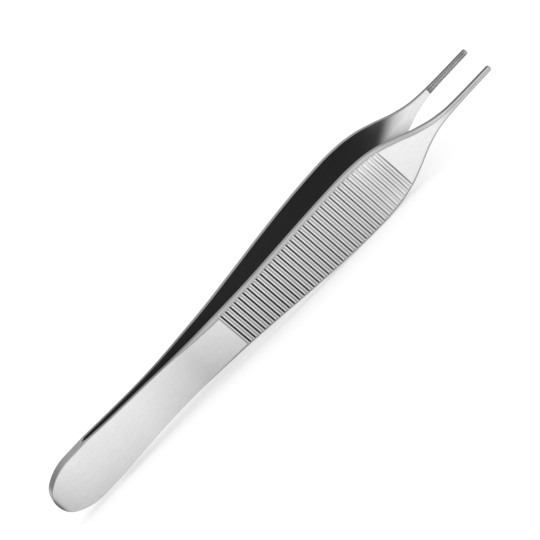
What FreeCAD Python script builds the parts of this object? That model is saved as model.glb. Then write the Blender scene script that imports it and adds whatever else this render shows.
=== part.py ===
import FreeCAD, Part
import math
import os

import Sketcher

# Thumb forceps: two mirrored spring arms, welded face to face over the heel.
# X runs from the heel to the tips, Y is the way the arms open, Z is their width.
# An arm is built with its heel end at X = 0 and its weld face at Y = 0, and the
# placement then puts the origin under the middle of the whole instrument.

doc = FreeCAD.newDocument("thumb_forceps")
sheet = doc.addObject("Spreadsheet::Sheet", "sizes")

# Millimetres and degrees. A run is the length from one section to the next, a half
# width is measured along Z, and an outer is a face's distance from the middle plane.
SIZES = {
    # heel, where the arms are welded
    "heel_half_width": 5.42,
    "heel_thickness": 1.45,
    "heel_end_radius": 4.3,
    "heel_round_length": 8.0,
    "heel_back_radius": 1.0,
    "weld_length": 12.4,
    "slot_taper_length": 1.0,
    "slot_half_gap": 0.62,
    "edge_break": 0.08,
    # spring, from the end of the weld to the waist
    "spring_thickness": 0.82,
    "spring_low_run": 6.6,
    "spring_low_half_width": 5.0,
    "spring_low_outer": 1.6,
    "spring_high_run": 8.0,
    "spring_high_half_width": 4.65,
    "spring_high_outer": 1.8,
    # waist, where the bevels begin and the outer face joins the arc of the grip
    "waist_run": 7.5,
    "waist_half_width": 4.46,
    "waist_thickness": 0.97,
    "grip_foot_run": 5.5,
    "grip_foot_half_width": 4.5,
    "grip_foot_thickness": 1.3,
    # grip, whose outer face is an arc seen from the side
    "grip_arc_radius": 316.0,
    "grip_crest_outer": 6.95,
    "grip_thickness": 1.66,
    "grip_bevel": 0.57,
    "grip_start_run": 6.0,
    "grip_start_half_width": 4.64,
    "grip_low_run": 10.0,
    "grip_low_half_width": 5.13,
    "grip_middle_run": 8.0,
    "grip_middle_half_width": 5.72,
    "grip_high_run": 8.0,
    "grip_high_half_width": 6.24,
    "belly_low_run": 6.5,
    "belly_low_half_width": 6.52,
    "belly_run": 5.0,
    "belly_half_width": 6.61,
    "crest_run": 4.0,
    "crest_half_width": 6.37,
    # shoulder and neck, which draw the arm down to the jaw
    "shoulder_run": 4.0,
    "shoulder_half_width": 5.63,
    "shoulder_outer": 6.98,
    "neck_top_run": 4.0,
    "neck_top_half_width": 4.18,
    "neck_top_outer": 7.03,
    "neck_run": 4.5,
    "neck_half_width": 2.25,
    "neck_outer": 7.1,
    "jaw_root_run": 4.0,
    "jaw_root_half_width": 1.1,
    "jaw_root_outer": 7.24,
    "jaw_root_thickness": 1.5,
    # jaw
    "jaw_outer": 7.35,
    "jaw_thickness": 1.3,
    "jaw_bevel": 0.38,
    "jaw_start_run": 3.6,
    "jaw_start_half_width": 0.68,
    "jaw_middle_run": 4.4,
    "jaw_middle_half_width": 0.56,
    "jaw_tip_run": 6.7,
    "jaw_tip_half_width": 0.52,
    "tip_nose_radius": 0.56,
    "tip_chamfer": 0.35,
    # troughs milled across the grip
    "trough_margin": 1.75,
    "trough_count": 36,
    "trough_pitch": 1.25,
    "trough_width": 0.86,
    "trough_floor_width": 0.4,
    "trough_depth": 0.24,
    # crossed cuts in the inner face of the jaw
    "serration_margin": 0.5,
    "serration_count": 27,
    "serration_pitch": 0.4,
    "serration_width": 0.26,
    "serration_depth": 0.11,
    "serration_angle": 18.0,
}

for row, (alias, number) in enumerate(SIZES.items(), start=1):
    sheet.set(f"A{row}", alias)
    sheet.set(f"B{row}", str(number))
    sheet.setAlias(f"B{row}", alias)
doc.recompute()

# The sections of the blade, in order from the heel, each with its outer distance, its
# thickness and the leg of its bevels. ON_ARC stands for the arc of the grip.
ON_ARC = None
RUN_OUT = "(sizes.edge_break + sizes.grip_bevel) / 2"
RUN_IN = "(sizes.grip_bevel + sizes.jaw_bevel) / 2"
SECTIONS = {
    "heel": ("sizes.heel_thickness", "sizes.heel_thickness - sizes.slot_half_gap", "sizes.edge_break"),
    "spring_low": ("sizes.spring_low_outer", "sizes.spring_thickness", "sizes.edge_break"),
    "spring_high": ("sizes.spring_high_outer", "sizes.spring_thickness", "sizes.edge_break"),
    "waist": (ON_ARC, "sizes.waist_thickness", "sizes.edge_break"),
    "grip_foot": (ON_ARC, "sizes.grip_foot_thickness", RUN_OUT),
    "grip_start": (ON_ARC, "sizes.grip_thickness", "sizes.grip_bevel"),
    "grip_low": (ON_ARC, "sizes.grip_thickness", "sizes.grip_bevel"),
    "grip_middle": (ON_ARC, "sizes.grip_thickness", "sizes.grip_bevel"),
    "grip_high": (ON_ARC, "sizes.grip_thickness", "sizes.grip_bevel"),
    "belly_low": (ON_ARC, "sizes.grip_thickness", "sizes.grip_bevel"),
    "belly": (ON_ARC, "sizes.grip_thickness", "sizes.grip_bevel"),
    "crest": (ON_ARC, "sizes.grip_thickness", "sizes.grip_bevel"),
    "shoulder": ("sizes.shoulder_outer", "sizes.grip_thickness", "sizes.grip_bevel"),
    "neck_top": ("sizes.neck_top_outer", "sizes.grip_thickness", "sizes.grip_bevel"),
    "neck": ("sizes.neck_outer", "sizes.grip_thickness", "sizes.grip_bevel"),
    "jaw_root": ("sizes.jaw_root_outer", "sizes.jaw_root_thickness", RUN_IN),
    "jaw_start": ("sizes.jaw_outer", "sizes.jaw_thickness", "sizes.jaw_bevel"),
    "jaw_middle": ("sizes.jaw_outer", "sizes.jaw_thickness", "sizes.jaw_bevel"),
    "jaw_tip": ("sizes.jaw_outer", "sizes.jaw_thickness", "sizes.jaw_bevel"),
}


def station(name):
    """Distance of a section from the heel end: the weld, the slot's taper and the runs."""
    names = list(SECTIONS)
    runs = [f"sizes.{each}_run" for each in names[1:names.index(name) + 1]]
    return "(" + " + ".join(["sizes.weld_length", "sizes.slot_taper_length"] + runs) + ")"


SLOT_END = station("heel")
CREST = station("crest")
TIP = station("jaw_tip")
ARC_CENTRE = "(sizes.grip_crest_outer - sizes.grip_arc_radius)"
JAW_INNER = "(sizes.jaw_outer - sizes.jaw_thickness)"

# How far a cutting outline reaches beyond the metal that it removes, and how far one
# of the fine cuts in the jaw does, which must not meet the next.
CLEAR = "1"
FINE_CLEAR = "0.05"


def arc_height(place):
    """Distance of the arc of the grip from the middle plane, at a place along X."""
    reach = f"sqrt(sizes.grip_arc_radius ^ 2 - ({place} - {CREST}) ^ 2)"
    return f"({ARC_CENTRE} + {reach})"


def measure(expression):
    """The number that an expression of the sheet comes to."""
    return float(sheet.evalExpression(expression))


def slopes(places, heights):
    """Slopes of a smooth line through the heights that never overshoots them."""
    widths = [after - before for before, after in zip(places, places[1:])]
    rises = [after - before for before, after in zip(heights, heights[1:])]
    rates = [rise / width for rise, width in zip(rises, widths)]
    between = []
    for index in range(1, len(rates)):
        before, after = rates[index - 1:index + 1]
        if before * after <= 0:
            between.append(0.0)
            continue
        near = 2 * widths[index] + widths[index - 1]
        far = widths[index] + 2 * widths[index - 1]
        between.append((near + far) / (near / before + far / after))
    return [rates[0]] + between + [rates[-1]]


def long_edge(places, corners):
    """One long edge of the blade: a cubic curve through one corner of every section."""
    across = slopes(places, [corner[0] for corner in corners])
    upward = slopes(places, [corner[1] for corner in corners])
    curve = Part.BSplineCurve()
    curve.interpolate(
        Points=[FreeCAD.Vector(place, *corner) for place, corner in zip(places, corners)],
        Parameters=places,
        Tangents=[FreeCAD.Vector(1, *pair) for pair in zip(across, upward)],
        TangentFlags=[True] * len(places),
    )
    return curve


def section_corners(name):
    """The six corners of a section, in Y and Z: the inner face, two walls and two bevels."""
    outer, thickness, bevel = SECTIONS[name]
    outer = measure(arc_height(station(name)) if outer is ON_ARC else outer)
    inner = outer - measure(thickness)
    bevel = measure(bevel)
    half = measure(f"sizes.{name}_half_width")
    upper = [(outer, half - bevel), (outer - bevel, half), (inner, half)]
    lower = [(across, -upward) for across, upward in reversed(upper)]
    return lower + upper


def make_blade():
    """The forged blade: smooth long edges through the sections, with ruled faces between."""
    places = [measure(station(name)) for name in SECTIONS]
    sections = [section_corners(name) for name in SECTIONS]
    curves = [long_edge(places, corners) for corners in zip(*sections)]
    faces = []
    for start, stop in zip(places, places[1:]):
        edges = [curve.toShape(start, stop) for curve in curves]
        faces += [Part.makeRuledSurface(edge, edges[index - 1]) for index, edge in enumerate(edges)]
    for place, corners in ((places[0], sections[0]), (places[-1], sections[-1])):
        outline = [FreeCAD.Vector(place, *corner) for corner in corners + corners[:1]]
        faces.append(Part.Face(Part.makePolygon(outline)))
    shell = Part.makeShell(faces)
    shell.sewShape()
    return Part.makeSolid(shell)


def new_sketch(name, plane, offsets=None, axis=(0, 0, 1)):
    """A sketch on one of the arm's own planes, moved and turned by expressions of the sheet."""
    sketch = arm.newObject("Sketcher::SketchObject", name)
    base = next(item for item in arm.Origin.OriginFeatures if item.Role == f"{plane}_Plane")
    sketch.AttachmentSupport = [(base, "")]
    sketch.MapMode = "FlatFace"
    # A first turn of one degree gives the offset the axis that its angle then turns about.
    first_turn = FreeCAD.Rotation(FreeCAD.Vector(*axis), 1 if offsets else 0)
    sketch.AttachmentOffset = FreeCAD.Placement(FreeCAD.Vector(), first_turn)
    for path, expression in (offsets or {}).items():
        sketch.setExpression(f"AttachmentOffset.{path}", expression)
    return sketch


def drive(sketch, rule, expression):
    """Adds a constraint and binds its size to an expression of the sheet."""
    number = sketch.addConstraint(Sketcher.Constraint(*rule, measure(expression)))
    sketch.setExpression(f"Constraints[{number}]", expression)


def arc_between(start, stop, radius, turn):
    """The short arc from start to stop that turns left for 1 and right for -1."""
    chord = stop - start
    left = FreeCAD.Vector(-chord.y, chord.x, 0)
    left.normalize()
    reach = math.sqrt(radius ** 2 - (chord.Length / 2) ** 2)
    centre = (start + stop) / 2 + left * reach * turn
    angles = [math.atan2(spot.y - centre.y, spot.x - centre.x) for spot in (start, stop)]
    if turn < 0:
        angles.reverse()
    return Part.ArcOfCircle(Part.Circle(centre, FreeCAD.Vector(0, 0, 1), radius), *angles)


def draw_outline(sketch, corners, arcs=None):
    """A closed outline through corners that are each given as two expressions.

    arcs maps the number of an edge to its radius and its turn, 1 for left and -1 for right.
    """
    arcs = arcs or {}
    points = [FreeCAD.Vector(measure(across), measure(upward), 0) for across, upward in corners]
    ends = []
    for edge, start in enumerate(points):
        stop = points[(edge + 1) % len(points)]
        if edge in arcs:
            radius, turn = arcs[edge]
            sketch.addGeometry(arc_between(start, stop, measure(radius), turn), False)
            ends.append((1, 2) if turn > 0 else (2, 1))
        else:
            sketch.addGeometry(Part.LineSegment(start, stop), False)
            ends.append((1, 2))
    for edge, (first, last) in enumerate(ends):
        following = (edge + 1) % len(points)
        joint = Sketcher.Constraint("Coincident", edge, last, following, ends[following][0])
        sketch.addConstraint(joint)
        across, upward = corners[edge]
        drive(sketch, ("DistanceX", -1, 1, edge, first), across)
        drive(sketch, ("DistanceY", -1, 1, edge, first), upward)
    for edge, (radius, turn) in arcs.items():
        drive(sketch, ("Radius", edge), radius)


def draw_heel(sketch):
    """The heel seen along Y: straight sides, two side arcs and an end arc, all tangent."""
    half = measure("sizes.heel_half_width")
    length = measure("sizes.heel_round_length")
    end_radius = measure("sizes.heel_end_radius")
    stop = measure(SLOT_END)
    side_radius = ((length - end_radius) ** 2 + half ** 2 - end_radius ** 2) / (2 * (half - end_radius))
    turn = math.atan2(side_radius - half, end_radius - length)
    upward = FreeCAD.Vector(0, 0, 1)
    for sign, angles in ((1, (math.pi / 2, turn)), (-1, (-turn, -math.pi / 2))):
        corner = FreeCAD.Vector(stop, sign * half, 0)
        tangent = FreeCAD.Vector(length, sign * half, 0)
        middle = FreeCAD.Vector(length, sign * (half - side_radius), 0)
        sketch.addGeometry(Part.LineSegment(corner, tangent), False)
        sketch.addGeometry(Part.ArcOfCircle(Part.Circle(middle, upward, side_radius), *angles), False)
    middle = FreeCAD.Vector(end_radius, 0, 0)
    sketch.addGeometry(Part.ArcOfCircle(Part.Circle(middle, upward, end_radius), turn, -turn), False)
    corners = [FreeCAD.Vector(stop, sign * half, 0) for sign in (-1, 1)]
    sketch.addGeometry(Part.LineSegment(*corners), False)
    top_line, top_arc, low_line, low_arc, end_arc, closing = range(6)
    for rule in (
        ("Tangent", top_line, 2, top_arc, 1),
        ("Tangent", top_arc, 2, end_arc, 1),
        ("Tangent", end_arc, 2, low_arc, 1),
        ("Tangent", low_arc, 2, low_line, 2),
        ("Coincident", low_line, 1, closing, 1),
        ("Coincident", closing, 2, top_line, 1),
        ("Horizontal", top_line),
        ("Horizontal", low_line),
        ("Vertical", closing),
        ("Vertical", top_line, 2, low_line, 2),
        ("PointOnObject", end_arc, 3, -1),
    ):
        sketch.addConstraint(Sketcher.Constraint(*rule))
    drive(sketch, ("DistanceX", -1, 1, end_arc, 3), "sizes.heel_end_radius")
    drive(sketch, ("Radius", end_arc), "sizes.heel_end_radius")
    drive(sketch, ("DistanceX", -1, 1, top_line, 2), "sizes.heel_round_length")
    drive(sketch, ("DistanceX", -1, 1, top_line, 1), SLOT_END)
    drive(sketch, ("DistanceY", -1, 1, top_line, 1), "sizes.heel_half_width")
    drive(sketch, ("DistanceY", low_line, 1, -1, 1), "sizes.heel_half_width")


def cut(name, sketch, width):
    """Cuts an outline away on both sides of its plane, over a width in all."""
    before = arm.Shape.copy()
    pocket = arm.newObject("PartDesign::Pocket", name)
    pocket.Profile = sketch
    pocket.Midplane = True
    pocket.setExpression("Length", width)
    doc.recompute()
    tool = pocket.AddSubShape.copy()
    tool.Placement = pocket.Placement.multiply(tool.Placement)
    if not before.common(tool).Volume > 0:
        raise RuntimeError(f"{name} removes nothing")
    return pocket


def repeat(kind, name, original, axis, offset, count, spot, step):
    """Repeats a cut along or about an axis, and checks that every copy cuts.

    spot is a point that the first cut clears, and step moves it to the next cut's.
    """
    pattern = arm.newObject(f"PartDesign::{kind}Pattern", name)
    pattern.Originals = [original]
    setattr(pattern, "Axis" if kind == "Polar" else "Direction", axis)
    pattern.Mode = "Spacing"
    pattern.Reversed = True
    pattern.setExpression("Offset", offset)
    pattern.setExpression("Occurrences", count)
    arm.Tip = pattern
    doc.recompute()
    for number in range(int(measure(count))):
        if arm.Shape.isInside(spot, 1e-4, True):
            raise RuntimeError(f"{name} leaves cut {number + 1} undone")
        spot = step.multVec(spot)


# The blade is the stock: the arm from the end of the slot to the tip, as it is forged.
blade = doc.addObject("Part::Feature", "blade")
blade.Shape = make_blade()
arm = doc.addObject("PartDesign::Body", "left_arm")
arm.Label = "left_arm"
arm.BaseFeature = blade
doc.recompute()

# The heel: a pad from the weld face out to the back of the arm.
heel_outline = new_sketch("heel_outline", "XZ")
draw_heel(heel_outline)
heel = arm.newObject("PartDesign::Pad", "heel")
heel.Profile = heel_outline
heel.Reversed = True
heel.setExpression("Length", "sizes.heel_thickness")
doc.recompute()

# Every cut across the arm is wider than the arm is anywhere.
ALL_WIDTH = "2 * (sizes.heel_half_width + sizes.belly_half_width)"

# The heel's end is rounded over its back, and the slot between the arms starts in a taper.
heel_back_outline = new_sketch("heel_back_outline", "XY")
draw_outline(
    heel_back_outline,
    [
        ("0", "sizes.heel_thickness - sizes.heel_back_radius"),
        ("sizes.heel_back_radius", "sizes.heel_thickness"),
        ("sizes.heel_back_radius", f"sizes.heel_thickness + {CLEAR}"),
        (f"-{CLEAR}", f"sizes.heel_thickness + {CLEAR}"),
        (f"-{CLEAR}", "sizes.heel_thickness - sizes.heel_back_radius"),
    ],
    {0: ("sizes.heel_back_radius", -1)},
)
cut("heel_back", heel_back_outline, ALL_WIDTH)
slot_outline = new_sketch("slot_outline", "XY")
draw_outline(
    slot_outline,
    [
        ("sizes.weld_length", "0"),
        (SLOT_END, "0"),
        (SLOT_END, "sizes.slot_half_gap"),
    ],
)
cut("slot", slot_outline, ALL_WIDTH)

# The tip: a rounded nose seen along Y, and a chamfer on its back.
NOSE_START = f"({TIP} - sizes.tip_nose_radius)"
NOSE_SIDE = f"(sizes.jaw_start_half_width + {CLEAR})"
nose_outline = new_sketch("nose_outline", "XZ")
draw_outline(
    nose_outline,
    [
        (NOSE_START, "-sizes.tip_nose_radius"),
        (TIP, "0"),
        (NOSE_START, "sizes.tip_nose_radius"),
        (NOSE_START, NOSE_SIDE),
        (f"{TIP} + {CLEAR}", NOSE_SIDE),
        (f"{TIP} + {CLEAR}", f"-{NOSE_SIDE}"),
        (NOSE_START, f"-{NOSE_SIDE}"),
    ],
    {0: ("sizes.tip_nose_radius", 1), 1: ("sizes.tip_nose_radius", 1)},
)
cut("nose", nose_outline, f"2 * (sizes.jaw_outer + {CLEAR})")
tip_chamfer_outline = new_sketch("tip_chamfer_outline", "XY")
draw_outline(
    tip_chamfer_outline,
    [
        (f"{TIP} - sizes.tip_chamfer - {CLEAR}", f"sizes.jaw_outer + {CLEAR}"),
        (f"{TIP} + {CLEAR}", f"sizes.jaw_outer - sizes.tip_chamfer - {CLEAR}"),
        (f"{TIP} + {CLEAR}", f"sizes.jaw_outer + {CLEAR}"),
    ],
)
cut("tip_chamfer", tip_chamfer_outline, ALL_WIDTH)

# The jaw: two families of fine V cuts that cross on its inner face. Each is drawn for the
# cut nearest the tip, on a plane that is turned about Y, and repeats towards the heel.
FINE_REACH = f"(sizes.serration_width / 2 * (1 + {FINE_CLEAR} / sizes.serration_depth))"
along_arm = next(item for item in arm.Origin.OriginFeatures if item.Role == "X_Axis")
for family, sign in (("rising", 1), ("falling", -1)):
    fine_outline = new_sketch(
        f"{family}_cut_outline",
        "XY",
        {
            "Base.x": f"{TIP} - sizes.serration_margin",
            "Base.y": JAW_INNER,
            "Rotation.Angle": f"{sign} * sizes.serration_angle",
        },
        axis=(0, 1, 0),
    )
    draw_outline(
        fine_outline,
        [
            (f"-{FINE_REACH}", f"-{FINE_CLEAR}"),
            (FINE_REACH, f"-{FINE_CLEAR}"),
            ("0", "sizes.serration_depth"),
        ],
    )
    fine_cut = cut(f"{family}_cut", fine_outline, f"4 * (sizes.jaw_start_half_width + {CLEAR})")
    repeat(
        "Linear",
        f"{family}_cuts",
        fine_cut,
        (along_arm, [""]),
        "sizes.serration_pitch",
        "sizes.serration_count",
        fine_outline.Placement.multVec(FreeCAD.Vector(0, measure("sizes.serration_depth / 2"), 0)),
        FreeCAD.Placement(FreeCAD.Vector(-measure("sizes.serration_pitch"), 0, 0), FreeCAD.Rotation()),
    )

# The grip: shallow troughs with sloping walls across the outer face, spaced along its arc.
# The outline is drawn from the centre of that arc, on a plane turned to the first trough.
FIRST_TROUGH = f"({station('grip_start')} + sizes.trough_margin)"
trough_outline = new_sketch(
    "trough_outline",
    "XY",
    {
        "Base.x": CREST,
        "Base.y": ARC_CENTRE,
        "Rotation.Angle": f"asin(({CREST} - {FIRST_TROUGH}) / sizes.grip_arc_radius)",
    },
)
draw_outline(
    trough_outline,
    [
        ("-sizes.trough_width / 2", "sizes.grip_arc_radius"),
        ("-sizes.trough_floor_width / 2", "sizes.grip_arc_radius - sizes.trough_depth"),
        ("sizes.trough_floor_width / 2", "sizes.grip_arc_radius - sizes.trough_depth"),
        ("sizes.trough_width / 2", "sizes.grip_arc_radius"),
        ("sizes.trough_width / 2", f"sizes.grip_arc_radius + {CLEAR}"),
        ("-sizes.trough_width / 2", f"sizes.grip_arc_radius + {CLEAR}"),
    ],
)
trough = cut("trough", trough_outline, ALL_WIDTH)
TROUGH_TURN = "(sizes.trough_pitch / sizes.grip_arc_radius * 180 / pi)"
repeat(
    "Polar",
    "troughs",
    trough,
    (trough_outline, ["N_Axis"]),
    TROUGH_TURN,
    "sizes.trough_count",
    trough_outline.Placement.multVec(
        FreeCAD.Vector(0, measure("sizes.grip_arc_radius - sizes.trough_depth / 2"), 0)
    ),
    FreeCAD.Placement(
        FreeCAD.Vector(),
        FreeCAD.Rotation(FreeCAD.Vector(0, 0, 1), -measure(TROUGH_TURN)),
        FreeCAD.Vector(measure(CREST), measure(ARC_CENTRE), 0),
    ),
)

# The other arm is the mirror image of this one across the weld face.
arm.setExpression("Placement.Base.x", f"-{TIP} / 2")
arm.setExpression("Placement.Base.z", "sizes.belly_half_width")
twin = doc.addObject("Part::Mirroring", "right_arm")
twin.Label = "right_arm"
twin.Source = arm
twin.Normal = (0, 1, 0)
doc.recompute()

for item in doc.Objects:
    if "Invalid" in item.State or "Error" in item.State:
        raise RuntimeError(f"{item.Label} failed: {item.State}")
for piece in (arm, twin):
    if piece.Shape.isNull() or not piece.Shape.isValid():
        raise RuntimeError(f"{piece.Label} is not a valid solid")

os.makedirs("parts", exist_ok=True)
for piece in (arm, twin):
    piece.Shape.exportStep(f"parts/{piece.Label}.step")
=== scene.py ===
import math

import bmesh
import bpy
import numpy as np
from mathutils import Matrix, Vector


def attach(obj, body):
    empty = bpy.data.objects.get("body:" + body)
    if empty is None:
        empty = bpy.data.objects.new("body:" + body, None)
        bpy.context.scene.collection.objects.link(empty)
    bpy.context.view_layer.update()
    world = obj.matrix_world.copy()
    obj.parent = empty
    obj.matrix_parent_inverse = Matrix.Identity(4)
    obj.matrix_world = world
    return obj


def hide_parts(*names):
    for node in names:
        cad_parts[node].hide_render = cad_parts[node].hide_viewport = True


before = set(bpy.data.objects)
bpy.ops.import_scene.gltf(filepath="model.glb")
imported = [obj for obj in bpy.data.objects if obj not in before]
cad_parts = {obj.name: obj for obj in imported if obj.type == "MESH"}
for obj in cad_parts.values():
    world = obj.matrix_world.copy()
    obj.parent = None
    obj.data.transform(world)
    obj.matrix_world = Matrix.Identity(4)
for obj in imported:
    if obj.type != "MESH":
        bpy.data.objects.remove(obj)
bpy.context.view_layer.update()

MM = 0.001

# ---------------------------------------------------------------- sizes, in millimetres
# Each section of an arm: its distance from the heel end, and half its width, then its
# outer distance from the middle plane, its thickness and the leg of its bevels. An outer
# distance of None is that of the grip's arc.
SECTIONS = (
    (13.4, 5.42, 1.45, 0.83, 0.08),
    (20.0, 5.0, 1.6, 0.82, 0.08),
    (28.0, 4.65, 1.8, 0.82, 0.08),
    (35.5, 4.46, None, 0.97, 0.08),
    (41.0, 4.5, None, 1.3, 0.325),
    (47.0, 4.64, None, 1.66, 0.57),
    (57.0, 5.13, None, 1.66, 0.57),
    (65.0, 5.72, None, 1.66, 0.57),
    (73.0, 6.24, None, 1.66, 0.57),
    (79.5, 6.52, None, 1.66, 0.57),
    (84.5, 6.61, None, 1.66, 0.57),
    (88.5, 6.37, None, 1.66, 0.57),
    (92.5, 5.63, 6.98, 1.66, 0.57),
    (96.5, 4.18, 7.03, 1.66, 0.57),
    (101.0, 2.25, 7.1, 1.66, 0.57),
    (105.0, 1.1, 7.24, 1.5, 0.475),
    (108.6, 0.68, 7.35, 1.3, 0.38),
    (113.0, 0.56, 7.35, 1.3, 0.38),
    (119.7, 0.52, 7.35, 1.3, 0.38),
)
LENGTH = SECTIONS[-1][0]
MIDDLE_HEIGHT = 6.61
ARC_RADIUS = 316.0
CREST_X = 88.5
ARC_CENTRE_Y = 6.95 - ARC_RADIUS

HEEL_HALF_WIDTH = 5.42
HEEL_THICKNESS = 1.45
HEEL_END_RADIUS = 4.3
HEEL_ROUND_LENGTH = 8.0
HEEL_BACK_RADIUS = 1.0
# The bevel along the heel's edges, and the most that it takes of a half width and of a
# thickness at the heel's end
HEEL_BEVEL = 0.08
HEEL_BEVEL_WIDTH_SHARE = 0.5
HEEL_BEVEL_DEPTH_SHARE = 0.3
WELD_LENGTH = 12.4
SLOT_END = SECTIONS[0][0]
SLOT_HALF_GAP = 0.62

TROUGH_START = 48.75
TROUGH_COUNT = 36
TROUGH_PITCH = 1.25
TROUGH_HALF_WIDTH = 0.43
TROUGH_DEPTH = 0.24
TROUGH_LEAN = math.radians(2.4)
# How softly a trough's rim is rounded, and the part of the floor's arc that is used
TROUGH_SOFTNESS = 0.035
TROUGH_ARC_LIMIT = 0.999
TROUGH_ARC_SHARE = 0.95
# Beside its trough, a floor stays this far above the face, where it cuts nothing
CLEAR_HEIGHT = 1.0
# The last troughs grow shallow towards their ends, where the face is crowned
CROWN_START = 82.0
CROWN_STOP = 90.0
CROWN_SHARE = 0.68
CROWN_HALF_WIDTH = 5.6
SERRATION_COUNT = 27
SERRATION_PITCH = 0.4
SERRATION_HALF_WIDTH = 0.13
SERRATION_DEPTH = 0.11
SERRATION_ANGLE = math.radians(18.0)
SERRATION_MARGIN = 0.5
NOSE_RADIUS = 0.56
TIP_CHAMFER = 0.35

# How far along the arm the troughs and the jaw cuts can reach, and where the jaw's dull
# finish starts
TROUGH_REACH = (47.0, 95.0)
SERRATION_REACH = 107.0
DULL_START = 108.65
# Where the stations lie close together, and how far apart they are from heel to nose
FINE_GRIP = (47.9, 94.2)
FINE_JAW = 108.0
HEEL_STATIONS = 34
HEEL_STEP = 0.45
SLOT_STATIONS = 5
SPRING_STEP = 0.5
GRIP_STEP = 0.08
NECK_STEP = 0.3
JAW_STEP = 0.05
LEAST_STEP = 0.03
NOSE_STATIONS = 12

# Rounding of a section's corners, and the share of a short side that it may take
WALL_CORNER = 0.12
FACE_CORNER = 0.16
CORNER_SHARE = 0.42
CORNER_POINTS = 5
# The inner corners' rounding along the arm. They stay sharp where the arms are welded.
INNER_CORNER_PLACES = (WELD_LENGTH, SLOT_END, 93.0, 97.0, 106.0, 109.0)
INNER_CORNERS = (1e-4, 0.04, 0.04, 0.16, 0.16, 0.1)
# Into how many parts each side of a section is divided: wall, bevel, face, bevel, wall and
# inner face
SIDE_DIVISIONS = (3, 6, 16, 6, 3, 22)
# The kinds of its points that lie on the outside, and the kind on the inner face
OUTER_KINDS = (1, 2, 3, 4)
INNER_KIND = 5
NO_LENGTH = 1e-9

# Edges that turn by more than this are shaded as sharp. The distances, in metres, are those
# at which points are merged and thin faces dissolved.
SHARP_ANGLE = math.radians(50.0)
MERGE_DISTANCE = 2e-6
THIN_DISTANCE = 1e-7


# ---------------------------------------------------------------- arms
def slopes(places, heights):
    """Slopes of a smooth line through the heights that never overshoots them."""
    widths = np.diff(places)
    rates = np.diff(heights) / widths
    inner = [0.0] * (len(rates) - 1)
    for i, (before, after) in enumerate(zip(rates, rates[1:])):
        if before * after > 0:
            near = 2 * widths[i + 1] + widths[i]
            far = widths[i + 1] + 2 * widths[i]
            inner[i] = (near + far) / (near / before + far / after)
    return np.array([rates[0]] + inner + [rates[-1]])


def smooth_line(places, heights, x):
    """The cubic line through the heights, at x."""
    places = np.array(places, float)
    heights = np.array(heights, float)
    tangent = slopes(places, heights)
    i = np.clip(np.searchsorted(places, x, side="right") - 1, 0, len(places) - 2)
    width = places[i + 1] - places[i]
    t = np.clip((x - places[i]) / width, 0, 1)
    low = heights[i] * (1 + 2 * t) * (1 - t) ** 2 + tangent[i] * width * t * (1 - t) ** 2
    high = heights[i + 1] * t**2 * (3 - 2 * t) - tangent[i + 1] * width * t**2 * (1 - t)
    return low + high


def arc_y(x):
    """Distance of the grip's arc from the middle plane."""
    return ARC_CENTRE_Y + np.sqrt(ARC_RADIUS**2 - (x - CREST_X) ** 2)


def heel_half_width(x):
    """Half the heel's width: an end arc, a side arc and a straight side, all tangent."""
    rise = HEEL_HALF_WIDTH - HEEL_END_RADIUS
    run = HEEL_ROUND_LENGTH - HEEL_END_RADIUS
    side_radius = (run**2 + HEEL_HALF_WIDTH**2 - HEEL_END_RADIUS**2) / (2 * rise)
    turn = math.atan2(side_radius - HEEL_HALF_WIDTH, -run)
    meet = HEEL_END_RADIUS + HEEL_END_RADIUS * math.cos(turn)
    end = np.sqrt(np.clip(HEEL_END_RADIUS**2 - (HEEL_END_RADIUS - x) ** 2, 0, None))
    side = HEEL_HALF_WIDTH - side_radius
    side = side + np.sqrt(np.clip(side_radius**2 - (HEEL_ROUND_LENGTH - x) ** 2, 0, None))
    return np.where(x < meet, end, np.where(x < HEEL_ROUND_LENGTH, side, HEEL_HALF_WIDTH))


def stations():
    """Places along the arm, closer together where the form is finer."""
    heel = HEEL_END_RADIUS * (1 - np.cos(np.linspace(0, math.pi / 2, HEEL_STATIONS)))
    nose = LENGTH - NOSE_RADIUS * (1 - np.cos(np.linspace(math.pi / 2, 0, NOSE_STATIONS)))
    runs = (
        heel[:-1],
        np.arange(HEEL_END_RADIUS, WELD_LENGTH, HEEL_STEP),
        np.linspace(WELD_LENGTH, SLOT_END, SLOT_STATIONS)[:-1],
        np.arange(SLOT_END, FINE_GRIP[0], SPRING_STEP),
        np.arange(*FINE_GRIP, GRIP_STEP),
        np.arange(FINE_GRIP[1], FINE_JAW, NECK_STEP),
        np.arange(FINE_JAW, nose[0] - LEAST_STEP, JAW_STEP),
        nose,
    )
    return np.concatenate(runs)


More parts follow.
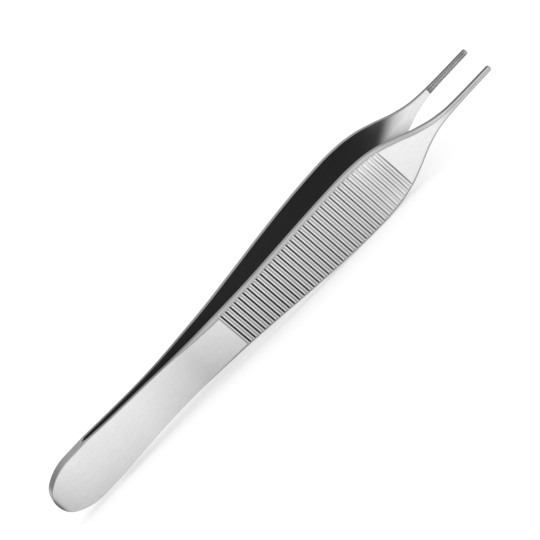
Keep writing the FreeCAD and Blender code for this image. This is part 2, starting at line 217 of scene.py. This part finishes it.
def section_corners(x):
    """The corners of each section: inner, wall, bevel and face, from low Z to high."""
    places = [s[0] for s in SECTIONS]
    outer = np.array([arc_y(s[0]) if s[2] is None else s[2] for s in SECTIONS])
    thickness = np.array([s[3] for s in SECTIONS])
    bevel = np.array([s[4] for s in SECTIONS])
    half = np.array([s[1] for s in SECTIONS])
    face_y = smooth_line(places, outer, x)
    face_z = smooth_line(places, half - bevel, x)
    wall_y = smooth_line(places, outer - bevel, x)
    wall_z = smooth_line(places, half, x)
    inner_y = smooth_line(places, outer - thickness, x)

    heel = x < SLOT_END
    taper = np.clip((x - WELD_LENGTH) / (SLOT_END - WELD_LENGTH), 0, 1) * SLOT_HALF_GAP
    round_off = HEEL_BACK_RADIUS - np.sqrt(
        np.clip(HEEL_BACK_RADIUS**2 - np.clip(HEEL_BACK_RADIUS - x, 0, None) ** 2, 0, None)
    )
    back = HEEL_THICKNESS - round_off
    end_half = heel_half_width(x)
    narrow = np.minimum(HEEL_BEVEL, end_half * HEEL_BEVEL_WIDTH_SHARE)
    thin = np.minimum(HEEL_BEVEL, back * HEEL_BEVEL_DEPTH_SHARE)
    face_y = np.where(heel, back, face_y)
    face_z = np.where(heel, end_half - narrow, face_z)
    wall_y = np.where(heel, back - thin, wall_y)
    wall_z = np.where(heel, end_half, wall_z)
    inner_y = np.where(heel, taper, inner_y)

    beyond = x - LENGTH + NOSE_RADIUS
    nose = np.where(beyond > 0, np.sqrt(np.clip(NOSE_RADIUS**2 - beyond**2, 0, None)), np.inf)
    chamfer = np.clip(x - LENGTH + TIP_CHAMFER, 0, None)
    face_y = face_y - chamfer
    wall_y = np.minimum(wall_y, face_y)
    wall_z = np.minimum(wall_z, nose)
    face_z = np.minimum(face_z, nose)
    low = [(inner_y, -wall_z), (wall_y, -wall_z), (face_y, -face_z)]
    high = [(face_y, face_z), (wall_y, wall_z), (inner_y, wall_z)]
    return np.array([np.stack(pair, 1) for pair in low + high]).transpose(1, 0, 2)


def direction(start, stop):
    """Steps from start to stop, and their lengths."""
    step = stop - start
    return step, np.linalg.norm(step, axis=1, keepdims=True) + NO_LENGTH


def ring_points(corners, x):
    """Points round each section, with rounded corners and evenly divided sides.

    Each point's kind is the number of its corner, or of the corner that its side starts at.
    """
    inner = np.interp(x, INNER_CORNER_PLACES, INNER_CORNERS)[:, None]
    radii = (inner, WALL_CORNER, FACE_CORNER, FACE_CORNER, WALL_CORNER, inner)
    count = len(radii)
    columns = []
    kinds = []
    for i, divisions in enumerate(SIDE_DIVISIONS):
        corner = corners[:, i]
        following = corners[:, (i + 1) % count]
        to_last, last_length = direction(corner, corners[:, i - 1])
        to_next, next_length = direction(corner, following)
        after_length = direction(following, corners[:, (i + 2) % count])[1]
        reach = np.minimum(radii[i], CORNER_SHARE * np.minimum(last_length, next_length))
        next_radius = radii[(i + 1) % count]
        next_reach = np.minimum(next_radius, CORNER_SHARE * np.minimum(next_length, after_length))
        start = corner + to_last / last_length * reach
        stop = corner + to_next / next_length * reach
        finish = following - to_next / next_length * next_reach
        for t in np.linspace(0, 1, CORNER_POINTS):
            columns.append((1 - t) ** 2 * start + 2 * t * (1 - t) * corner + t**2 * stop)
            kinds.append(i)
        for t in np.linspace(0, 1, divisions + 1)[1:-1]:
            columns.append(stop + (finish - stop) * t)
            kinds.append(i)
    return np.stack(columns, 1), np.array(kinds)


def cut_troughs(x, y, z):
    """Lowers the outer face into the troughs, with soft rims."""
    angle = np.arcsin((x + z * math.tan(TROUGH_LEAN) - CREST_X) / ARC_RADIUS)
    place = (angle - math.asin((TROUGH_START - CREST_X) / ARC_RADIUS)) * ARC_RADIUS
    number = np.clip(np.round(place / TROUGH_PITCH), 0, TROUGH_COUNT - 1)
    across = np.abs(place - number * TROUGH_PITCH)
    radius = (TROUGH_HALF_WIDTH**2 + TROUGH_DEPTH**2) / (2 * TROUGH_DEPTH)
    crown = np.clip((x - CROWN_START) / (CROWN_STOP - CROWN_START), 0, 1) * CROWN_SHARE
    depth = TROUGH_DEPTH * (1 - crown * np.clip(z / CROWN_HALF_WIDTH, -1, 1) ** 2)
    off_middle = np.minimum(across, radius * TROUGH_ARC_LIMIT)
    floor = radius - depth - np.sqrt(np.clip(radius**2 - off_middle**2, 0, None))
    floor = np.where(across < radius * TROUGH_ARC_SHARE, floor, CLEAR_HEIGHT)
    height = y - arc_y(x)
    share = np.clip(0.5 + 0.5 * (floor - height) / TROUGH_SOFTNESS, 0, 1)
    lowered = floor * (1 - share) + height * share - TROUGH_SOFTNESS * share * (1 - share)
    return y + np.where(floor - height < TROUGH_SOFTNESS, lowered - height, 0.0)


def cut_serrations(x, y, z):
    """Cuts the crossed V cuts into the inner face of the jaw."""
    deepest = np.zeros_like(y)
    last = LENGTH - SERRATION_MARGIN
    for sign in (1, -1):
        along_cut = x + sign * z * math.tan(SERRATION_ANGLE)
        number = np.clip(np.round((last - along_cut) / SERRATION_PITCH), 0, SERRATION_COUNT - 1)
        aside = np.abs(last - number * SERRATION_PITCH - along_cut) * math.cos(SERRATION_ANGLE)
        depth = SERRATION_DEPTH * np.clip(1 - aside / SERRATION_HALF_WIDTH, 0, 1)
        deepest = np.maximum(deepest, depth)
    return y + deepest


def make_arm(name, side, node, materials):
    """One arm of the forceps as a closed mesh, on the side of +Y (1) or of -Y (-1).

    The materials are those of the outside, of the inner face and of the jaw's inner face.
    """
    x = stations()
    ring, kinds = ring_points(section_corners(x), x)
    rows, columns = ring.shape[:2]
    grid_x = np.repeat(x[:, None], columns, 1)
    y = ring[:, :, 0]
    z = ring[:, :, 1]
    ribbed = np.isin(kinds, OUTER_KINDS)[None, :]
    ribbed = ribbed & (grid_x > TROUGH_REACH[0]) & (grid_x < TROUGH_REACH[1])
    y = np.where(ribbed, cut_troughs(grid_x, y, z), y)
    serrated = (kinds == INNER_KIND)[None, :] & (grid_x > SERRATION_REACH)
    y = np.where(serrated, cut_serrations(grid_x, y, z), y)
    spots = [(grid_x - LENGTH / 2) * MM, y * side * MM, (z + MIDDLE_HEIGHT) * MM]
    spots = np.stack(spots, 2).reshape(-1, 3)
    faces = []
    slots = []
    for i in range(rows - 1):
        this = i * columns
        following = this + columns
        for j in range(columns):
            k = (j + 1) % columns
            faces.append((this + j, this + k, following + k, following + j)[::side])
            inner = kinds[j] == INNER_KIND and kinds[k] in (INNER_KIND, 0)
            slots.append((2 if x[i] > DULL_START else 1) if inner else 0)
    heel_end = tuple(range(columns))
    nose_end = tuple((rows - 1) * columns + j for j in range(columns))
    faces.append(heel_end[::-side])
    faces.append(nose_end[::side])
    slots += [0, 0]
    mesh = bpy.data.meshes.new(name)
    mesh.from_pydata([tuple(s) for s in spots], [], faces)
    for material in materials:
        mesh.materials.append(material)
    mesh.polygons.foreach_set("material_index", slots)
    work = bmesh.new()
    work.from_mesh(mesh)
    bmesh.ops.remove_doubles(work, verts=work.verts, dist=MERGE_DISTANCE)
    bmesh.ops.dissolve_degenerate(work, edges=work.edges, dist=THIN_DISTANCE)
    bmesh.ops.recalc_face_normals(work, faces=work.faces)
    for face in work.faces:
        face.smooth = True
    for edge in work.edges:
        edge.smooth = edge.calc_face_angle(0.0) < SHARP_ANGLE
    work.to_mesh(mesh)
    work.free()
    arm = bpy.data.objects.new(name, mesh)
    bpy.context.scene.collection.objects.link(arm)
    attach(arm, "root")
    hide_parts(node)
    return arm


# ---------------------------------------------------------------- finishes, with painted light and shade
# Noise in the steel: fine grain, clouds and brushed lines, with the share of each in the tone
GRAIN_SCALE = 3600.0
CLOUD_SCALE = 160.0
NOISE_DETAIL = 3.0
GRAIN_SHARPNESS = 0.6
CLOUD_SHARPNESS = 0.55
BRUSH_SHARPNESS = 0.5
BRUSH_STRETCH = (0.12, 1.0, 1.0)
CLOUD_SHARE = 0.08
GRAIN_SHARE = 0.2
BRUSH_SHARE = 0.1
CLOUD_ROUGHNESS = 0.08
GRAIN_HEIGHT = 0.00004
BRUSH_HEIGHT = 0.00003

# Tone, roughness and strength of the grain of the three finishes
SATIN = (0.84, 0.3, 0.5)
POLISHED = (0.86, 0.22, 0.06)
DULL = (0.66, 0.3, 0.2)

# Factors over the surface's lean along the arm, from -1, facing the heel, to 1: in the first and
# in the last troughs, off the grip, and in the jaw cuts. They are painted shade: dark lines where
# a cut faces the heel, duller slopes where it faces the nose, and a dark heel end.
FIRST_TROUGH_SHADE = (
    (-1.0, 0.025),
    (-0.45, 0.03),
    (-0.3, 0.26),
    (-0.17, 0.95),
    (-0.1, 1.0),
    (0.08, 1.0),
    (0.35, 0.48),
    (0.8, 0.42),
)
LAST_TROUGH_SHADE = (
    (-1.0, 0.03),
    (-0.6, 0.04),
    (-0.45, 0.25),
    (-0.25, 0.9),
    (-0.04, 1.0),
    (0.08, 1.0),
    (0.4, 0.6),
    (0.8, 0.5),
)
PLAIN_LEAN_SHADE = ((-1.0, 0.06), (-0.85, 0.12), (-0.6, 0.4), (-0.3, 0.78), (-0.1, 1.0), (1.0, 1.0))
JAW_CUT_SHADE = ((-0.7, 0.1), (-0.35, 0.4), (-0.1, 1.0), (0.1, 1.0), (0.35, 0.8), (0.7, 0.55))
# How these blend along the arm: the last troughs for the first, less painted shade for both, and
# both for the plain one on the grip
LAST_SHARE = ((60.0, 0.0), (92.0, 1.0))
SHADE_EASE_SHARE = ((83.0, 0.0), (88.0, 0.2))
GRIP_SHARE = ((47.4, 0.0), (47.8, 1.0), (94.6, 1.0), (95.0, 0.0))
# The lean counts for less by this much where a surface turns to the side
SIDE_FADE = 1.3

# Factors along the arm, from distances from the heel in millimetres. Each of these tables paints
# light or shade into the tone.
# On the outside: painted shade at the heel's end and at the jaw, a painted highlight on the
# shoulder before the neck, and painted light and shade between
OUTER_LIGHT_AND_SHADE = (
    (0.3, 0.6),
    (0.8, 0.7),
    (1.5, 0.85),
    (4.0, 0.95),
    (8.0, 1.04),
    (18.0, 1.07),
    (26.0, 1.05),
    (33.0, 0.98),
    (40.0, 0.94),
    (47.0, 1.0),
    (78.0, 1.02),
    (88.0, 1.05),
    (94.0, 1.1),
    (104.0, 1.1),
    (109.0, 0.8),
)
# On the inner face: painted shade before the neck
INNER_NECK_SHADE = ((60.0, 1.0), (91.0, 0.74), (94.0, 0.8), (97.0, 1.0))
# On the jaw's inner face: painted shade where the jaw starts and near the nose
JAW_END_SHADE = ((108.7, 0.5), (109.2, 0.75), (110.0, 1.0), (116.5, 1.0), (118.3, 0.8), (119.2, 1.0))
# Painted shade: how dark the outside grows towards its lower edge
LOWER_EDGE_SHADE = (
    (2.0, 0.7),
    (10.0, 0.72),
    (24.0, 0.8),
    (40.0, 0.68),
    (48.0, 0.78),
    (60.0, 0.8),
    (94.0, 0.94),
)
# Painted shade on the walls
WALL_SHADE = (
    (0.0, 0.32),
    (1.8, 0.48),
    (3.7, 0.6),
    (6.6, 0.73),
    (9.0, 0.8),
    (13.0, 0.8),
    (17.0, 0.5),
    (36.0, 0.5),
    (46.0, 0.75),
    (98.0, 0.75),
    (106.0, 0.45),
    (109.0, 0.4),
)
# Painted shade on the bevels, turning to a little painted light near the jaw
BEVEL_SHADE = ((0.0, 0.72), (101.0, 0.74), (107.0, 1.05))
# Between which sideways parts of the normal a face turns into a bevel, and into a wall
BEVEL_TILT = (0.15, 0.55)
WALL_TILT = (0.75, 0.95)

# Factors of painted shade for what faces down, and where along the arm the outside has them
OUTER_UNDERSIDE_SHADE = ((-1.0, 0.5), (-0.5, 0.6), (-0.1, 1.0))
INNER_UNDERSIDE_SHADE = ((-1.0, 0.4), (-0.4, 0.55), (-0.1, 1.0))
UNDERSIDE_SHARE = ((36.0, 0.0), (44.0, 1.0))

# Where the painted shade of the inner faces between the arms ends, how its edge leans with the
# height, how long it fades, and its factors and metallic shares over that fade
NECK_START = 92.6
NECK_SLANT = 1.5
NECK_FADE = 9.0
NECK_SHADE_TONES = ((0.0, 0.17), (0.06, 0.2), (0.2, 0.36), (0.36, 0.53), (0.6, 0.76), (1.0, 1.0))
NECK_METAL = ((0.0, 0.55), (0.5, 1.0))


def node_maker(tree):
    """A function that adds a node to the tree."""

    def add(kind, inputs=None, **settings):
        node = tree.nodes.new(kind)
        for key, value in settings.items():
            setattr(node, key, value)
        for socket, value in (inputs or {}).items():
            if isinstance(value, bpy.types.NodeSocket):
                tree.links.new(value, node.inputs[socket])
            else:
                node.inputs[socket].default_value = value
        return node

    return add


def new_material(name):
    """A material with its shader, and a function that adds a node to it."""
    material = bpy.data.materials.new(name)
    material.use_nodes = True
    tree = material.node_tree
    return material, tree, tree.nodes["Principled BSDF"], node_maker(tree)


def ramp(add, factor, stops):
    """A colour ramp of greys, from pairs of position and grey."""
    node = add("ShaderNodeValToRGB", {0: factor})
    elements = node.color_ramp.elements
    while len(elements) < len(stops):
        elements.new(0.5)
    for element, (position, grey) in zip(elements, stops):
        element.position = position
        element.color = (grey, grey, grey, 1)
    return node.outputs[0]


def scaled_sum(add, factor, scale, offset):
    """The socket of factor times scale plus offset."""
    inputs = {0: factor, 1: scale, 2: offset}
    return add("ShaderNodeMath", inputs, operation="MULTIPLY_ADD").outputs[0]


def noise(add, spot, scale, sharpness):
    """The socket of a noise."""
    inputs = {"Vector": spot, "Scale": scale, "Detail": NOISE_DETAIL, "Roughness": sharpness}
    return add("ShaderNodeTexNoise", inputs).outputs[0]


def steel(name, base, roughness, grain):
    """Steel with fine grain and a cloudy tone. Returns the material and its parts."""
    material, tree, shader, add = new_material(name)
    spot = add("ShaderNodeTexCoord").outputs["Object"]
    fine = noise(add, spot, GRAIN_SCALE, GRAIN_SHARPNESS)
    cloud = noise(add, spot, CLOUD_SCALE, CLOUD_SHARPNESS)
    stretched = add("ShaderNodeMapping", {"Vector": spot, "Scale": BRUSH_STRETCH}).outputs[0]
    brushed = noise(add, stretched, GRAIN_SCALE, BRUSH_SHARPNESS)
    tone = base
    for pattern, share in ((cloud, CLOUD_SHARE), (fine, GRAIN_SHARE), (brushed, BRUSH_SHARE)):
        tone = scaled_sum(add, pattern, share, tone)
        tone = add("ShaderNodeMath", {0: tone, 1: share / 2}, operation="SUBTRACT").outputs[0]
    shader.inputs["Metallic"].default_value = 1.0
    rough = scaled_sum(add, cloud, CLOUD_ROUGHNESS, roughness - CLOUD_ROUGHNESS / 2)
    tree.links.new(rough, shader.inputs["Roughness"])
    inputs = {"Height": fine, "Strength": grain, "Distance": GRAIN_HEIGHT}
    bump = add("ShaderNodeBump", inputs).outputs[0]
    inputs = {"Height": brushed, "Strength": grain, "Distance": BRUSH_HEIGHT, "Normal": bump}
    bump = add("ShaderNodeBump", inputs).outputs[0]
    tree.links.new(bump, shader.inputs["Normal"])
    return material, tree, shader, add, tone


def product(add, *factors):
    """The product of several sockets."""
    result = factors[0]
    for factor in factors[1:]:
        result = add("ShaderNodeMath", {0: result, 1: factor}, operation="MULTIPLY").outputs[0]
    return result


def paint(tree, shader, add, tone):
    """Sets a shader's base colour to a grey tone."""
    colour = add("ShaderNodeCombineColor", {0: tone, 1: tone, 2: tone}).outputs[0]
    tree.links.new(colour, shader.inputs["Base Color"])


def part_of(add, output, axis):
    """One part of a texture coordinate."""
    spot = add("ShaderNodeTexCoord").outputs[output]
    return add("ShaderNodeSeparateXYZ", {0: spot}).outputs[axis]


def absolute(add, factor):
    """The socket of a factor without its sign."""
    return add("ShaderNodeMath", {0: factor}, operation="ABSOLUTE").outputs[0]


def blend(add, share, first, second):
    """The socket of a blend: the first where the share is 0, and the second where it is 1."""
    return add("ShaderNodeMix", {0: share, 2: first, 3: second}).outputs[0]


def stretch(add, factor, low, high):
    """The socket of a factor that runs from 0 at the low value to 1 at the high one."""
    return add("ShaderNodeMapRange", {0: factor, 1: low, 2: high}).outputs[0]


def signed_ramp(add, factor, stops):
    """A ramp over a factor from -1 to 1."""
    shifted = scaled_sum(add, factor, 0.5, 0.5)
    return ramp(add, shifted, [(0.5 + 0.5 * value, grey) for value, grey in stops])


def over_length(add, stops):
    """A factor that changes along the arm, from pairs of distance from the heel and grey."""
    x = part_of(add, "Object", "X")
    share = stretch(add, x, -LENGTH / 2 * MM, LENGTH / 2 * MM)
    return ramp(add, share, [(place / LENGTH, grey) for place, grey in stops])


def over_height(add, stops):
    """A factor of painted shade, darker towards the lower edge, that grows to 1 at the upper edge
    of the arms.

    At the lower edge it is the grey of the stops, pairs of distance from the heel and grey.
    """
    share = stretch(add, part_of(add, "Object", "Z"), 0.0, 2 * MIDDLE_HEIGHT * MM)
    return blend(add, share, over_length(add, stops), 1.0)


def over_lean(add, stops):
    """A factor of painted shade that changes with the surface's lean along the arm.

    The side walls don't count: their lean is their outline's, and not that of a cut.
    """
    sideways = absolute(add, part_of(add, "Normal", "Z"))
    inputs = {0: sideways, 1: -SIDE_FADE, 2: 1.0}
    share = add("ShaderNodeMath", inputs, operation="MULTIPLY_ADD", use_clamp=True).outputs[0]
    return signed_ramp(add, product(add, part_of(add, "Normal", "X"), share), stops)


def over_side(add, walls, bevels):
    """A factor of painted shade for the sides, which is 1 on the broad faces.

    On the walls and on the bevels it comes from pairs of distance from the heel and grey.
    """
    sideways = absolute(add, part_of(add, "Normal", "Z"))
    onto_bevel = stretch(add, sideways, *BEVEL_TILT)
    onto_wall = stretch(add, sideways, *WALL_TILT)
    slope = blend(add, onto_bevel, 1.0, over_length(add, bevels))
    return blend(add, onto_wall, slope, over_length(add, walls))


def over_underside(add, stops):
    """A factor of painted shade for what faces down, from pairs of the normal's height and grey.
    """
    return signed_ramp(add, part_of(add, "Normal", "Z"), stops)


def make_satin():
    """The outer faces, walls and bevels: satin, with painted shade where a cut faces the heel,
    and painted light and shade along the arm, towards the lower edge, on the walls and bevels and
    on what faces down.
    """
    material, tree, shader, add, tone = steel("satin_steel", *SATIN)
    share = over_length(add, LAST_SHARE)
    grip = blend(add, share, over_lean(add, FIRST_TROUGH_SHADE), over_lean(add, LAST_TROUGH_SHADE))
    grip = blend(add, over_length(add, SHADE_EASE_SHARE), grip, 1.0)
    lean = blend(add, over_length(add, GRIP_SHARE), over_lean(add, PLAIN_LEAN_SHADE), grip)
    length = over_length(add, OUTER_LIGHT_AND_SHADE)
    height = over_height(add, LOWER_EDGE_SHADE)
    side = over_side(add, WALL_SHADE, BEVEL_SHADE)
    below = over_underside(add, OUTER_UNDERSIDE_SHADE)
    below = blend(add, over_length(add, UNDERSIDE_SHARE), 1.0, below)
    paint(tree, shader, add, product(add, tone, lean, length, height, side, below))
    return material


def make_polished():
    """The inner faces: polished, with painted shade between the arms that lifts to brighter at
    the necks beyond a curved edge, and painted shade along the arm and on what faces down.
    """
    material, tree, shader, add, tone = steel("polished_steel", *POLISHED)
    height = part_of(add, "Object", "Z")
    inputs = {0: height, 1: MIDDLE_HEIGHT * MM}
    rise = absolute(add, add("ShaderNodeMath", inputs, operation="SUBTRACT").outputs[0])
    place = scaled_sum(add, rise, -NECK_SLANT, part_of(add, "Object", "X"))
    start = (NECK_START - LENGTH / 2) * MM
    share = stretch(add, place, start, start + NECK_FADE * MM)
    fade = ramp(add, share, NECK_SHADE_TONES)
    below = over_underside(add, INNER_UNDERSIDE_SHADE)
    length = over_length(add, INNER_NECK_SHADE)
    paint(tree, shader, add, product(add, tone, fade, below, length))
    tree.links.new(ramp(add, share, NECK_METAL), shader.inputs["Metallic"])
    return material


def make_serrated():
    """The inner faces of the jaws: dull, with painted shade inside the crossed cuts and along the
    jaw.
    """
    material, tree, shader, add, tone = steel("serrated_steel", *DULL)
    lean = over_lean(add, JAW_CUT_SHADE)
    length = over_length(add, JAW_END_SHADE)
    paint(tree, shader, add, product(add, tone, lean, length))
    return material


finishes = (make_satin(), make_polished(), make_serrated())
make_arm("left_arm_finish", 1, "left_arm", finishes)
make_arm("right_arm_finish", -1, "right_arm", finishes)

# ---------------------------------------------------------------- camera
ELEVATION = math.radians(25.0)
ROLL = math.radians(46.68)
DISTANCE = 0.8
PX_PER_MM = 5.13
IMAGE_PX = 540
SENSOR_WIDTH = 36.0
# The point that the camera looks at: its distance from the heel, and its rise in the view
TARGET_X = 61.9
TARGET_RISE = 1.19
CLIP_NEAR = 0.05
CLIP_FAR = 50.0

back = Vector((0, -math.cos(ELEVATION), math.sin(ELEVATION)))
upward = Vector((0, math.sin(ELEVATION), math.cos(ELEVATION)))
along = Vector((1, 0, 0))
right = along * math.cos(ROLL) - upward * math.sin(ROLL)
above = along * math.sin(ROLL) + upward * math.cos(ROLL)
target = Vector(((TARGET_X - LENGTH / 2) * MM, 0, MIDDLE_HEIGHT * MM))
target += upward * TARGET_RISE * MM
camera_data = bpy.data.cameras.new("camera")
camera_data.sensor_width = SENSOR_WIDTH
camera_data.lens = PX_PER_MM / MM * DISTANCE / IMAGE_PX * SENSOR_WIDTH
camera_data.clip_start = CLIP_NEAR
camera_data.clip_end = CLIP_FAR
camera = bpy.data.objects.new("camera", camera_data)
turn = Matrix((right, above, back)).transposed()
camera.matrix_world = Matrix.Translation(target + back * DISTANCE) @ turn.to_4x4()
bpy.context.scene.collection.objects.link(camera)
bpy.context.scene.camera = camera

# ---------------------------------------------------------------- floor and world
FLOOR_REACH = 4.0
FLOOR_GREY = 0.8
# What the camera and the steel's gloss see added to the floor's grey, to make it white
CAMERA_GLOW = 0.55
GLOSS_GLOW = 0.48
# Greys of the sky from the horizon to the zenith
SKY = ((0.0, 0.3), (0.42, 0.42), (1.0, 0.95))

mesh = bpy.data.meshes.new("floor")
corners = [(-FLOOR_REACH, -FLOOR_REACH, 0), (FLOOR_REACH, -FLOOR_REACH, 0)]
corners += [(FLOOR_REACH, FLOOR_REACH, 0), (-FLOOR_REACH, FLOOR_REACH, 0)]
mesh.from_pydata(corners, [], [(0, 1, 2, 3)])
floor = bpy.data.objects.new("floor", mesh)
bpy.context.scene.collection.objects.link(floor)
paper, tree, shader, add = new_material("paper")
tree.nodes.remove(shader)
light_path = add("ShaderNodeLightPath")
glow = scaled_sum(add, light_path.outputs["Is Camera Ray"], CAMERA_GLOW, 0.0)
glow = scaled_sum(add, light_path.outputs["Is Glossy Ray"], GLOSS_GLOW, glow)
diffuse = add("ShaderNodeBsdfDiffuse", {"Color": (FLOOR_GREY, FLOOR_GREY, FLOOR_GREY, 1)})
emission = add("ShaderNodeEmission", {"Color": (1, 1, 1, 1), "Strength": glow})
both = add("ShaderNodeAddShader", {0: diffuse.outputs[0], 1: emission.outputs[0]})
tree.links.new(both.outputs[0], tree.nodes["Material Output"].inputs["Surface"])
floor.data.materials.append(paper)

world = bpy.data.worlds.new("world")
bpy.context.scene.world = world
world.use_nodes = True
tree = world.node_tree
sky = tree.nodes["Background"]
add_sky = node_maker(tree)
sky_height = part_of(add_sky, "Generated", "Z")
greys = ramp(add_sky, sky_height, SKY)
tree.links.new(greys, sky.inputs["Color"])
sky.inputs["Strength"].default_value = 1.0

bpy.context.scene.view_settings.view_transform = "Standard"
